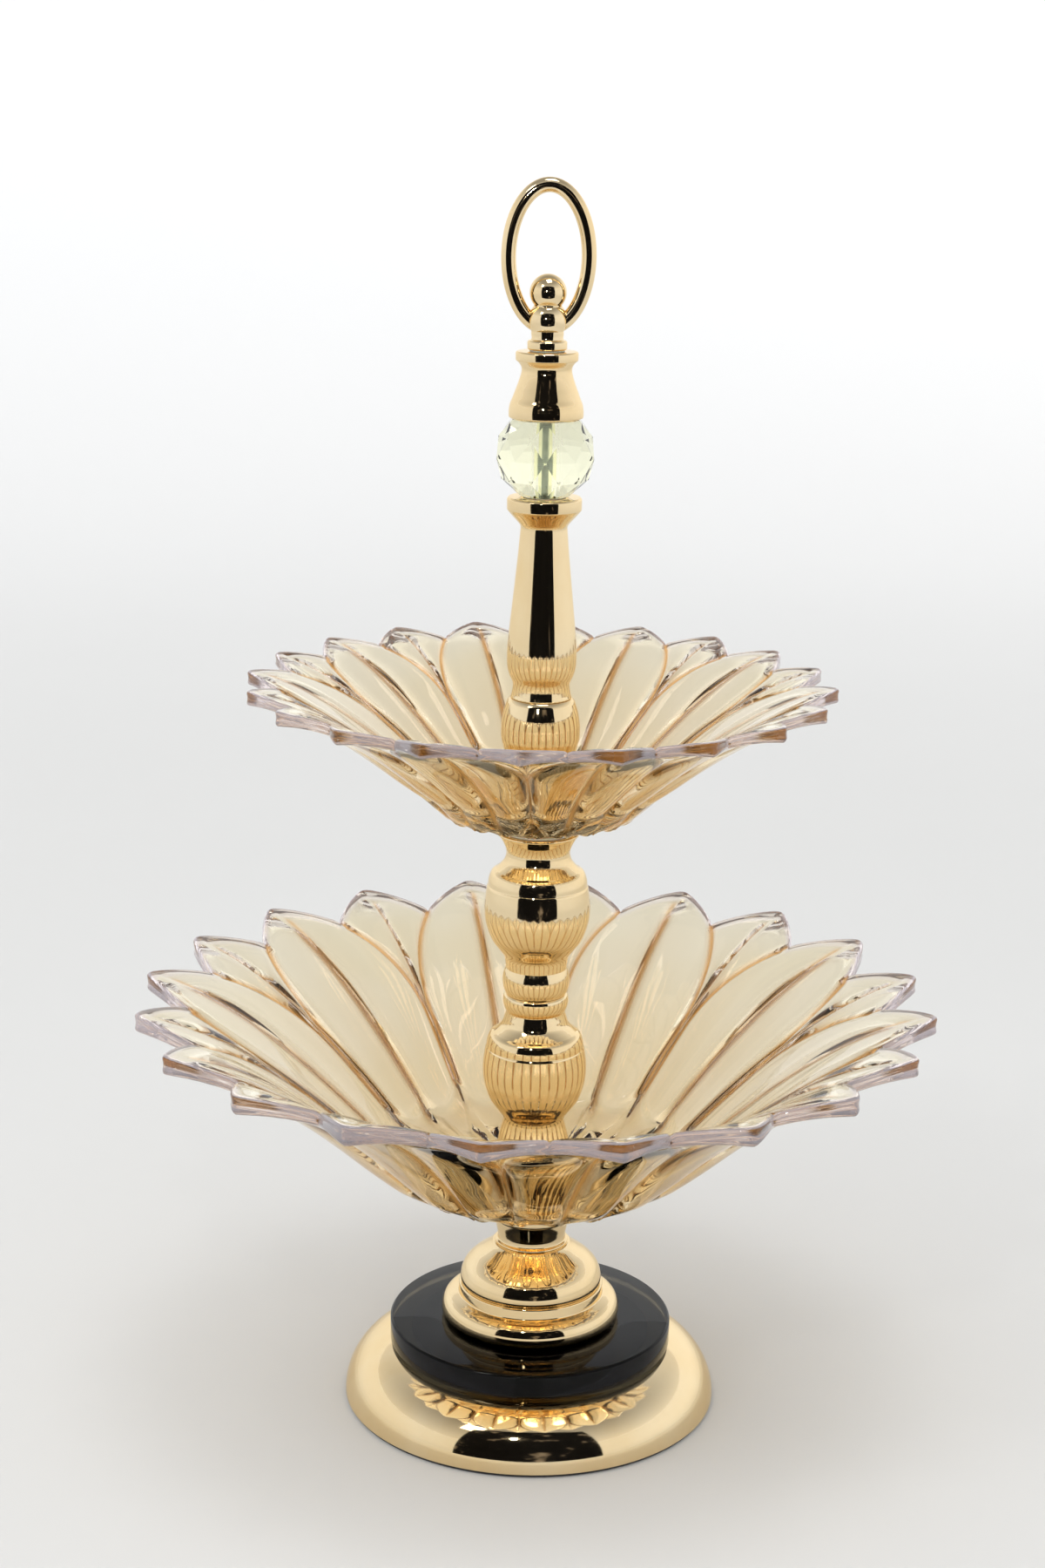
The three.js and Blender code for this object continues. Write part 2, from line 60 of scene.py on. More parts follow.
class Value:
    """A socket in a material, on which Python's operators add Math nodes."""

    def __init__(self, finish, socket):
        self.finish, self.socket = finish, socket

    def maths(self, operation, *values):
        return self.finish.node("ShaderNodeMath", {"operation": operation}, values)

    def __add__(self, other):
        return self.maths("ADD", self, other)

    def __rsub__(self, other):
        return self.maths("SUBTRACT", other, self)

    def __mul__(self, other):
        return self.maths("MULTIPLY", self, other)

    __radd__, __rmul__ = __add__, __mul__

    def between(self, low, high):
        """0 below low and 1 above high, with a smooth step between them."""
        sockets = {"Value": self, "From Min": low, "From Max": high}
        return self.finish.node("ShaderNodeMapRange", {"interpolation_type": "SMOOTHSTEP"}, sockets)


class Finish:
    """A node material with one Principled shader."""

    def __init__(self, name, **constants):
        self.material = bpy.data.materials.new(name)
        self.material.use_nodes = True
        self.tree = self.material.node_tree
        self.shader = self.tree.nodes["Principled BSDF"]
        for socket, value in constants.items():
            self.shader.inputs[socket.replace("_", " ")].default_value = value

    def node(self, kind, settings=None, sockets=(), output=0):
        """A node of this kind: its settings first, then its sockets, by name or in order."""
        made = self.tree.nodes.new(kind)
        for name, value in (settings or {}).items():
            setattr(made, name, value)
        pairs = sockets.items() if isinstance(sockets, dict) else enumerate(sockets)
        for name, value in pairs:
            self.feed(made.inputs[name], value)
        return Value(self, made.outputs[output])

    def feed(self, socket, value):
        if isinstance(value, Value):
            self.tree.links.new(value.socket, socket)
        else:
            socket.default_value = value

    def set(self, **sockets):
        for name, value in sockets.items():
            self.feed(self.shader.inputs[name.replace("_", " ")], value)
        return self

    def shader_value(self):
        return Value(self, self.shader.outputs[0])

    def place(self):
        return self.node("ShaderNodeTexCoord", output="Object")

    def noise(self, scale, detail, roughness=0.5):
        sockets = {"Vector": self.place(), "Scale": scale, "Detail": detail, "Roughness": roughness}
        return self.node("ShaderNodeTexNoise", sockets=sockets)

    def attribute(self, name):
        return self.node("ShaderNodeAttribute", {"attribute_name": name}, output="Fac")

    def mix(self, factor, first, second):
        sockets = {"Factor": factor, 6: first, 7: second}
        return self.node("ShaderNodeMix", {"data_type": "RGBA"}, sockets, output=2)

    def bump(self, height, strength, distance):
        sockets = {"Height": height, "Strength": strength, "Distance": distance}
        return self.node("ShaderNodeBump", sockets=sockets)


def rgb(*colour):
    return (*colour, 1.0)


# ---------------------------------------------------------------- finishes


def plated_gold():
    """Champagne gold plate, polished, with faint cloudy wiping marks and fine turning lines."""
    finish = Finish("plated_gold", Metallic=1.0, Specular_Tint=rgb(1.0, 0.93, 0.8))
    cloud = finish.noise(28.0, 4.0)
    grain = finish.noise(900.0, 2.0)
    ring = finish.node(
        "ShaderNodeTexNoise",
        sockets={
            "Vector": finish.node(
                "ShaderNodeMapping", sockets={"Vector": finish.place(), "Scale": (4.0, 4.0, 2600.0)}
            ),
            "Scale": 1.0,
            "Detail": 1.0,
        },
    )
    warm, pale = rgb(0.86, 0.66, 0.37), rgb(0.91, 0.74, 0.47)
    return finish.set(
        Base_Color=finish.mix(cloud.between(0.3, 0.7), warm, pale),
        Roughness=0.045 + cloud.between(0.45, 0.75) * 0.035 + grain * 0.02,
        Normal=finish.bump(ring, 0.02, 0.0002),
    )


# The groove mark also carries the dark brown painted reflections on the rims, and the brown it brings to
# the grooves is painted shade.
MARKS = ("groove", "rim", "depth")  # what each vertex of a bowl says of the glass there


def lustre_glass():
    """Pressed glass under an amber lustre, which turns lilac at the rim. The brown along the grooves is
    painted shade, and the dark brown patches on the rim are painted reflections. The rim's faint emission
    stands in for light that travels inside the glass. Real glass has none."""
    finish = Finish("lustre_glass", Transmission_Weight=1.0, IOR=1.48, Specular_Tint=rgb(1.0, 0.92, 0.96))
    marked, rim, depth = (finish.attribute(name) for name in MARKS)
    cloud = finish.noise(22.0, 2.0)
    # At the rim the dark brown painted reflections come and go with the cloud
    groove = marked * (1 - rim * (1 - cloud.between(0.40, 0.55)))
    wave = finish.bump(finish.noise(45.0, 2.0), 0.06, 0.001)
    # The glass itself: pale on the inside, amber low down on the outside and underneath, and nearly clear
    # at the rim. Its amber in the grooves is painted shade.
    thin = finish.mix(cloud.between(0.35, 0.65), rgb(0.965, 0.89, 0.68), rgb(0.985, 0.925, 0.75))
    deep = finish.mix(depth, thin, rgb(0.76, 0.45, 0.13))
    amber = finish.mix(groove, deep, rgb(0.80, 0.48, 0.17))
    body = finish.mix(rim, amber, rgb(0.99, 0.94, 0.975))
    finish.set(Base_Color=body, Roughness=0.01 + cloud * 0.02, Normal=wave)
    # The lustre over it, lilac at the rim, with brown painted shade in the grooves and dark brown painted
    # reflections on the rim
    groove_shade_brown, painted_reflection_brown = rgb(0.72, 0.38, 0.11), rgb(0.30, 0.12, 0.03)
    lilac, pale_lilac = rgb(0.90, 0.80, 0.86), rgb(0.96, 0.88, 0.93)
    brown_painted_light = groove.between(0.05, 0.4)
    colour = finish.mix(brown_painted_light, finish.mix(rim, groove_shade_brown, pale_lilac), finish.mix(rim, groove_shade_brown, painted_reflection_brown))
    glow = finish.mix(brown_painted_light, finish.mix(rim, BLACK, lilac), BLACK)
    lustre_and_painted_light = {
        "Base Color": colour,
        "Roughness": 0.12 + cloud * 0.1,
        "IOR": 1.5,
        "Coat Weight": 0.3,
        "Coat Roughness": 0.03,
        "Emission Color": glow,
        "Emission Strength": 0.4,
        "Normal": wave,
    }
    coat = finish.node("ShaderNodeBsdfPrincipled", sockets=lustre_and_painted_light)
    share = groove.maths("MAXIMUM", groove * 0.8, rim * 0.22)
    both = finish.node("ShaderNodeMixShader", sockets=(share, finish.shader_value(), coat))
    finish.tree.links.new(both.socket, finish.tree.nodes["Material Output"].inputs["Surface"])
    return finish


def smoked_glass():
    """Smoked glass, darker at its polished edge, with faint smears. Its IOR is below real glass's, which
    is about 1.5, to dim what it reflects."""
    finish = Finish("smoked_glass", Transmission_Weight=1.0, IOR=1.25)
    smear = finish.noise(35.0, 4.0)
    level = finish.node("ShaderNodeVectorMath", {"operation": "MULTIPLY"}, (finish.place(), (1, 1, 0)))
    reach = finish.node("ShaderNodeVectorMath", {"operation": "LENGTH"}, (level,), output=1)
    smoke = finish.mix(smear.between(0.35, 0.65), rgb(0.06, 0.063, 0.06), rgb(0.085, 0.088, 0.085))
    return finish.set(
        Base_Color=finish.mix(reach.between(0.0550, 0.0557), smoke, rgb(0.006, 0.006, 0.007)),
        Roughness=0.01 + smear.between(0.5, 0.8) * 0.03,
    )


def cut_crystal():
    """Clear crystal with a breath of yellow green. Its IOR is below real crystal's, which is about 1.55,
    so that the rod shows through nearly straight."""
    finish = Finish("cut_crystal", Transmission_Weight=1.0, IOR=1.38)
    tint = finish.noise(40.0, 2.0)
    return finish.set(
        Base_Color=finish.mix(tint, rgb(0.965, 0.96, 0.66), rgb(0.985, 0.98, 0.80)),
        Roughness=0.002 + tint * 0.004,
    )


def black_felt():
    """Short-piled felt."""
    finish = Finish("black_felt", Sheen_Weight=0.4, Sheen_Roughness=0.5)
    fibre = finish.noise(1400.0, 6.0, 0.7)
    return finish.set(
        Base_Color=finish.mix(fibre, rgb(0.006, 0.006, 0.007), rgb(0.03, 0.03, 0.032)),
        Roughness=0.86 + fibre * 0.12,
        Normal=finish.bump(fibre, 0.7, 0.0004),
    )


def black_rubber():
    """Matt rubber with a fine grain."""
    finish = Finish("black_rubber")
    grain = finish.noise(700.0, 4.0, 0.6)
    return finish.set(
        Base_Color=finish.mix(grain, rgb(0.007, 0.007, 0.008), rgb(0.02, 0.02, 0.021)),
        Roughness=0.5 + grain * 0.2,
        Normal=finish.bump(grain, 0.25, 0.0002),
    )


def milky_plastic():
    """Soft translucent plastic, a little yellowed."""
    finish = Finish("milky_plastic", Subsurface_Weight=0.3, Subsurface_Scale=0.002)
    haze = finish.noise(300.0, 3.0)
    return finish.set(
        Base_Color=finish.mix(haze, rgb(0.72, 0.70, 0.62), rgb(0.82, 0.81, 0.75)),
        Roughness=0.32 + haze * 0.14,
        Normal=finish.bump(haze, 0.1, 0.0002),
    )


def cast_iron():
    """Rough iron with a few rusty blotches."""
    finish = Finish("cast_iron", Metallic=0.75)
    grit = finish.noise(420.0, 6.0, 0.65)
    blotch = finish.noise(45.0, 3.0)
    return finish.set(
        Base_Color=finish.mix(blotch.between(0.4, 0.7), rgb(0.05, 0.05, 0.052), rgb(0.12, 0.1, 0.085)),
        Roughness=0.55 + grit * 0.3,
        Normal=finish.bump(grit, 0.5, 0.0006),
    )


def zinc_plate():
    """Bright zinc plate over steel, with the cloudy spangle of a dipped thread."""
    finish = Finish("zinc_plate", Metallic=1.0)
    spangle = finish.node(
        "ShaderNodeTexVoronoi", sockets={"Vector": finish.place(), "Scale": 420.0}, output="Distance"
    )
    haze = finish.noise(150.0, 4.0)
    return finish.set(
        Base_Color=finish.mix(spangle, rgb(0.62, 0.66, 0.70), rgb(0.46, 0.50, 0.55)),
        Roughness=0.14 + haze * 0.16,
        Normal=finish.bump(haze, 0.12, 0.0002),
    )


FINISHES = {
    "gold": plated_gold(),
    "amber_glass": lustre_glass(),
    "smoked_glass": smoked_glass(),
    "crystal": cut_crystal(),
    "felt": black_felt(),
    "rubber": black_rubber(),
    "clear_plastic": milky_plastic(),
    "cast_iron": cast_iron(),
    "zinc_steel": zinc_plate(),
}
SLOT_OF = {part["node"]: part["material_slot"] for part in frame["record"]["subparts"]}


# ---------------------------------------------------------------- modelling


def foot(node):
    """The height of a node's underside, in millimetres."""
    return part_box(node)[0][2] / MM


def height(node):
    """How tall a node is, in millimetres."""
    low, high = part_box(node)
    return (high[2] - low[2]) / MM


def edit(piece):
    bpy.ops.object.select_all(action="DESELECT")
    piece.select_set(True)
    bpy.context.view_layer.objects.active = piece
    bpy.ops.object.mode_set(mode="EDIT")
    bpy.ops.mesh.select_all(action="SELECT")


def done():
    bpy.ops.object.mode_set(mode="OBJECT")


def modifier(piece, kind, **settings):
    """Adds a modifier, sets it and applies it."""
    bpy.context.view_layer.objects.active = piece
    made = piece.modifiers.new(kind.lower(), kind)
    for name, value in settings.items():
        setattr(made, name, value)
    bpy.ops.object.modifier_apply(modifier=made.name)


def soften(piece, width, segments=3, angle=32):
    """Breaks the sharp edges by a small round of this width, in millimetres."""
    modifier(
        piece,
        "BEVEL",
        width=width * MM,
        segments=segments,
        limit_method="ANGLE",
        angle_limit=radians(angle),
        use_clamp_overlap=True,
        harden_normals=False,
    )


def smooth_shade(piece, angle=28):
    bpy.ops.object.select_all(action="DESELECT")
    piece.select_set(True)
    bpy.context.view_layer.objects.active = piece
    bpy.ops.object.shade_smooth_by_angle(angle=radians(angle))


def start_point(name):
    """A new piece that is one vertex at the origin, in edit mode."""
    bpy.ops.object.select_all(action="DESELECT")
    bpy.ops.mesh.primitive_plane_add(size=MM, location=(0, 0, 0))
    piece = bpy.context.object
    piece.name = piece.data.name = name
    bpy.ops.object.mode_set(mode="EDIT")
    bpy.ops.mesh.select_all(action="SELECT")
    bpy.ops.mesh.merge(type="CENTER")
    return piece


def run(points, steps=6):
    """A smooth line through given points, with this many chords between neighbours."""
    ends = [points[0], *points, points[-1]]
    line = []
    for a, b, c, d in zip(ends, ends[1:], ends[2:], ends[3:]):
        for i in range(steps):
            t = i / steps
            line.append(
                tuple(
                    q + 0.5 * t * (r - p + t * (2 * p - 5 * q + 4 * r - s + t * (3 * q - p - 3 * r + s)))
                    for p, q, r, s in zip(a, b, c, d)
                )
            )
    return [*line, points[-1]]


def arc(centre, radius, start, end, steps=10):
    """Points of (radius, height) on a circle round centre, from one angle in degrees to another."""
    angles = [radians(start + (end - start) * i / steps) for i in range(steps + 1)]
    return [(centre[0] + radius * cos(a), centre[1] + radius * sin(a)) for a in angles]


def turned(name, outline, base, sides=ROUND, soft=0.25, closed=True):
    """A piece turned on the stem's axis from an outline of (radius, height) above its base. A closed
    outline comes back to its start, and an open one starts and ends on the axis."""
    piece = start_point(name)
    radius, level = outline[0]
    bpy.ops.transform.translate(value=(radius * MM, 0, (base + level) * MM))
    stops = [*outline[1:], outline[0]] if closed else outline[1:]
    for next_radius, next_level in stops:
        move = ((next_radius - radius) * MM, 0, (next_level - level) * MM)
        bpy.ops.mesh.extrude_vertices_move(TRANSFORM_OT_translate={"value": move})
        radius, level = next_radius, next_level
    bpy.ops.mesh.select_all(action="SELECT")
    bpy.ops.mesh.spin(steps=sides, angle=tau, center=(0, 0, 0), axis=(0, 0, 1))
    bpy.ops.mesh.select_all(action="SELECT")
    bpy.ops.mesh.remove_doubles(threshold=0.004 * MM)
    bpy.ops.mesh.normals_make_consistent(inside=False)
    done()
    if soft:
        soften(piece, soft)
    smooth_shade(piece)
    return piece


def hollow(outside, bore, hole, floor=0.0, roof=0.0):
    """An outline with its inside: a bore, closed down to the rod's hole by a floor and a roof."""
    bottom, top = outside[0][1], outside[-1][1]
    inside = [(hole, top), (hole, top - roof)] if roof else []
    inside += [(bore, top - roof), (bore, bottom + floor)]
    inside += [(hole, bottom + floor), (hole, bottom)] if floor else []
    return [*outside, *inside]


def finish_piece(piece, node, body=STAND):
    """Gives a piece its node's finish, and puts it in the node's place."""
    slot = SLOT_OF[node]
    piece.data.materials.clear()
    piece.data.materials.append(FINISHES[slot].material)
    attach(piece, body)
    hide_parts(node)


# ---------------------------------------------------------------- camera, floor and light

LENS, SENSOR = 63.17, 36.0  # millimetres
CAMERA_PLACE = (-0.00275, -1.0151, 0.5212)
PITCH, ROLL, YAW = 14.8, 0.93, 0.21  # degrees: tipped down, tilted, and turned from straight ahead


def camera():
    """The view from in front of the stand and a little above it."""
    bpy.ops.object.camera_add(location=CAMERA_PLACE)
    view = bpy.context.object
    view.rotation_euler = (radians(90 - PITCH), 0, radians(YAW))
    view.rotation_euler.rotate_axis("Z", radians(ROLL))
    view.data.sensor_width = SENSOR
    view.data.lens = LENS
    bpy.context.scene.camera = view


def floor():
    """A wide pale floor that sweeps up into a wall all round, so that every view has the same ground."""
    curve = 1700
    outline = [(0, 0), *arc((curve, curve), curve, -90, 0, 24)]
    sweep = turned("floor", outline, 0, sides=96, soft=0, closed=False)
    paper = Finish("paper", Specular_IOR_Level=0.0)
    grain = paper.noise(3.0, 3.0)
    reach = paper.node("ShaderNodeVectorMath", {"operation": "LENGTH"}, (paper.place(),), output=1)
    # Painted shade: the paper is darker on the floor near the stand than further out and up the wall, and
    # darker on the wall's left than on its right
    near = paper.mix(grain, rgb(0.685, 0.685, 0.675), rgb(0.71, 0.71, 0.70))
    across = paper.node("ShaderNodeSeparateXYZ", sockets=(paper.place(),)).between(-1.6, 1.6)
    wall = paper.mix(across, rgb(0.93, 0.935, 0.94), rgb(0.99, 0.99, 0.99))
    paper.set(
        Base_Color=paper.mix(reach.between(0.7, 3.4), near, wall),
        Roughness=0.6 + grain * 0.1,
    )
    sweep.data.materials.append(paper.material)


def light():
    """A pale light tent: a soft world, two wide suns that metal doesn't mirror, and lamps that it does."""
    scene = bpy.context.scene
    scene.view_settings.view_transform = "Standard"
    world = bpy.data.worlds.new("tent")
    scene.world = world
    world.use_nodes = True
    tree = world.node_tree
    sky = tree.nodes["Background"]
    sky.inputs["Color"].default_value = rgb(0.985, 0.99, 1.0)
    direction = tree.nodes.new("ShaderNodeTexCoord")
    split = tree.nodes.new("ShaderNodeSeparateXYZ")
    tree.links.new(direction.outputs["Generated"], split.inputs[0])
    # The tent's roof is dimmer than its walls, and its left wall a little dimmer than its right
    roof = tree.nodes.new("ShaderNodeMapRange")
    tree.links.new(split.outputs["Z"], roof.inputs["Value"])
    roof.inputs["From Min"].default_value = 0.3
    roof.inputs["From Max"].default_value = 0.85
    roof.inputs["To Min"].default_value = 1.04
    roof.inputs["To Max"].default_value = 0.36
    walls = tree.nodes.new("ShaderNodeMapRange")
    tree.links.new(split.outputs["X"], walls.inputs["Value"])
    walls.inputs["From Min"].default_value = -1.0
    walls.inputs["To Min"].default_value = 0.94
    walls.inputs["To Max"].default_value = 1.05
    both = tree.nodes.new("ShaderNodeMath")
    both.operation = "MULTIPLY"
    tree.links.new(roof.outputs["Result"], both.inputs[0])
    tree.links.new(walls.outputs["Result"], both.inputs[1])
    tree.links.new(both.outputs[0], sky.inputs["Strength"])
    suns = (
        ("side_daylight", (-0.3, -0.4, 1.3), 90, 0.6),
        ("overhead_daylight", (0.15, -0.4, 1.0), 150, 1.0),
    )
    for name, place, angle, energy in suns:
        bpy.ops.object.light_add(type="SUN", location=place)
        sun = bpy.context.object
        sun.name = name
        sun.data.angle = radians(angle)
        sun.data.energy = energy
        sun.visible_glossy = False
        sun.rotation_euler = Vector(place).to_track_quat("Z", "Y").to_euler()
    lamps = (
        ("key", (-0.75, -0.75, 1.35), 0.3, 1.6),
        ("glint", (-0.10, -0.58, 0.55), 0.035, 0.3),
        ("roof_panel", (0.08, -0.22, 1.6), 0.5, 3.2),
    )
    aim = Vector((0, 0, 0.2))
    for name, place, size, power in lamps:
        bpy.ops.object.light_add(type="AREA", location=place)
        lamp = bpy.context.object
        lamp.name = name
        lamp.data.size = size
        lamp.data.energy = power
        lamp.rotation_euler = (Vector(place) - aim).to_track_quat("Z", "Y").to_euler()


def tent_opening():
    """The dark opening in the light tent, which only reflections show."""
    bpy.ops.mesh.primitive_plane_add(size=1.0, location=(0, -0.62, 0.5), rotation=(radians(90), 0, 0))
    opening = bpy.context.object
    opening.name = "tent_opening"
    opening.scale = (1.15, 1.0, 1.0)
    bpy.ops.object.transform_apply(location=True, rotation=True, scale=True)
    cloth = Finish("tent_opening", Roughness=1.0, Specular_IOR_Level=0.0)
    fold = cloth.noise(6.0, 2.0)
    dark = cloth.mix(fold, rgb(0.004, 0.004, 0.005), rgb(0.012, 0.012, 0.014))
    cloth.set(Base_Color=cloth.mix(fold.between(0.6, 0.72), dark, rgb(0.30, 0.26, 0.23)))
    opening.data.materials.append(cloth.material)
    opening.visible_camera = False
    opening.visible_diffuse = False
    opening.visible_shadow = False
    opening.visible_transmission = False


# ---------------------------------------------------------------- bowls

SECTORS = 10  # each is one wide petal and half of the narrow leaf at each side
SECTOR = pi / SECTORS  # half the angle of a sector
LINES = (0.012, 0.03, 0.06, 0.11, 0.18, 0.27, 0.36, 0.42, 0.455, 0.478, 0.49, 0.5)
LINES += (0.51, 0.522, 0.545, 0.6, 0.69, 0.79, 0.88, 0.94, 0.975, 1.0)
ACROSS = (*(-line for line in reversed(LINES)), 0.0, *LINES)

# How far the outside lies under the inside, along the crest of a lobe and along the crease between two
# lobes, from the floor's edge at 0 to the tips at 1.
CREST = [(-0.014, -2.4), (0.02, 0.3), (0.05, 2.1), (0.084, 3.9), (0.16, 6.7), (0.28, 8.1), (0.4, 8.0)]
CREST += [(0.58, 7.1), (0.72, 6.0), (0.83, 4.7), (1.0, 4.7)]
CREASE = [(0.042, 1.8), (0.07, 2.8), (0.1, 3.5), (0.16, 4.1), (0.4, 4.1), (0.72, 4.2), (0.84, 4.7)]
CREASE += [(0.93, 6.1), (1.0, 6.8)]


def ease(x):
    """0 below 0 and 1 above 1, with a smooth step between them."""
    x = min(max(x, 0.0), 1.0)
    return x * x * (3 - 2 * x)


def bell(distance, width):
    """1 at no distance, falling off over a width."""
    return exp(-((distance / width) ** 2))


def look_up(line, x):
    """The height of a line of points at x."""
    if x <= line[0][0]:
        return line[0][1]
    for (x0, y0), (x1, y1) in zip(line, line[1:]):
        if x <= x1:
            return y0 + (y1 - y0) * (x - x0) / (x1 - x0)
    return line[-1][1]


CREST_LINE, CREASE_LINE = run(CREST, 8), run(CREASE, 8)


class Bowl:
    """A flower bowl of ten equal sectors. Heights are above its underside. Across a sector, v is 0 along
    the midrib of the wide petal, 0.5 along the petal's edge and 1 along the middle of the narrow leaf.
    s is the angle that v stands for, as a share of the half sector."""

    def __init__(self, node, tip, notch, depth, floor_edge, floor_top, scale, sag, azimuth, hole, painted_reflection_reach):
        """tip, notch and floor_edge are radii. The last argument is how far down the rim's face the dark
        brown painted reflection reaches.
        """
        self.node, self.tip, self.notch, self.depth = node, tip, notch, depth
        self.floor_edge, self.floor_top, self.scale, self.sag = floor_edge, floor_top, scale, sag
        self.azimuth, self.hole, self.painted_reflection_reach = azimuth, hole, painted_reflection_reach

    def rim_radius(self, s):
        """The star's outline, with twenty slightly rounded tips."""
        off_tip = 2 * abs(s - round(s))
        easing = 0.09
        off_tip = (sqrt(off_tip**2 + easing**2) - easing) / (sqrt(1 + easing**2) - easing)
        return self.notch + (self.tip - self.notch) * (1 - off_tip**1.05)

    def rise(self, radius):
        """The height of the inside at a radius, apart from its petals."""
        u = (radius - self.floor_edge) / (self.tip - self.floor_edge)
        return self.floor_top + self.depth * (u + 0.72 * (sin(pi / 2 * u) - u))

    def petal_foot(self, v):
        """The radius where a petal's rounded end meets the floor."""
        q = min(1.0, 2 * v)
        return self.floor_edge + self.scale * (9.0 + 7.0 * q**4 + 3.0 * (1 - q) ** 4)

    def edge_share(self, radius):
        """s along a wide petal's edge: at the notch it is half way, and further in the petals meet."""
        closed = self.notch - (self.notch - self.floor_edge) * 0.5
        x = min(max((self.notch - radius) / (self.notch - closed), 0.0), 1.0)
        return 0.5 + 0.46 * (1 - (1 - x) ** 1.6)

    def spread(self, v, t):
        """s and the radius of the inside, at v and at a share t of the way from the floor to the rim."""
        edge = 0.5
        for _ in range(12):
            foot_radius = self.petal_foot(0.5)
            radius = foot_radius + (self.rim_radius(edge) - foot_radius) * t
            edge = 0.5 * (edge + self.edge_share(radius))
        s = 2 * v * edge if v <= 0.5 else edge + (2 * v - 1) * (1 - edge)
        foot_radius = self.petal_foot(v)
        radius = foot_radius + (self.rim_radius(s) - 1.6 * self.scale - foot_radius) * t
        return s, radius, edge


def inside(bowl, v, t):
    """A point of the inside: radius, level, s and how deep it lies in a groove."""
    k = bowl.scale
    s, radius, edge = bowl.spread(v, t)
    arc_length = SECTOR * radius
    q, leaf = min(1.0, 2 * v), max(0.0, 2 * v - 1)
    below_rim = bowl.rim_radius(s) - radius
    start, stop = ease(t / 0.06), ease((below_rim - 4.2 * k) / (2.4 * k))
    petal = 1 - abs(2 * q - 1) ** 3 * (0.55 if q < 0.5 else 1.0) if v <= 0.5 else 0.0
    narrow = 0.6 * (1 - abs(2 * leaf - 1) ** 2.5) * ease((1 - edge) / 0.2) if v > 0.5 else 0.0
    edge_line = bell((s - edge) * arc_length, 0.8 * k)
    fade = ease((below_rim - 8 * k) / (5 * k))
    middle_line = bell((1 - s) * arc_length, 0.6 * k) * fade
    rib_line = bell(s * arc_length, 1.2 * k) * fade * ease(t / 0.15)
    lift = k * 1.5 * (petal + narrow) * start * stop
    lift -= k * (0.9 * edge_line * ease(t / 0.04) + 0.5 * middle_line * ease(t / 0.3))
    lift += k * 0.9 * (1 - stop)
    tilt = atan2(bowl.rise(radius + 0.5) - bowl.rise(radius - 0.5), 1.0)
    groove = max(0.9 * edge_line * ease(t / 0.05), 0.5 * middle_line * ease(t / 0.4), 0.55 * rib_line)
    return radius - lift * sin(tilt), bowl.rise(radius) + lift * cos(tilt), s, groove


def outside(bowl, v, t):
    """A point of the outside, at a share t of the way from a lobe's rounded end to the rim."""
    k = bowl.scale
    off_crest = abs(2 * v - 1)
    start = bowl.floor_edge + k * (-1.5 + 6.0 * off_crest**3)
    radius = start + (bowl.rim_radius(v) - 0.6 * k - start) * t
    u = (radius - bowl.floor_edge) / (bowl.tip - bowl.floor_edge)
    crest, crease = look_up(CREST_LINE, u), look_up(CREASE_LINE, u)
    drop = crease + (crest - crease) * (1 - off_crest**2.2)
    rib = bell(v * SECTOR * radius, 1.5 * k) * ease((0.9 - t) / 0.1) * ease(t / 0.1)
    leaf_rib = bell((1 - v) * SECTOR * radius, 1.2 * k) * ease((0.8 - t) / 0.2) * ease(t / 0.1)
    drop -= 0.9 * rib + 0.5 * leaf_rib
    groove = max(rib, 0.35 * leaf_rib)
    sag = bowl.sag * (1 - ease((u + 0.014) / 0.2))
    return radius, bowl.rise(radius) - k * drop - sag, v, groove


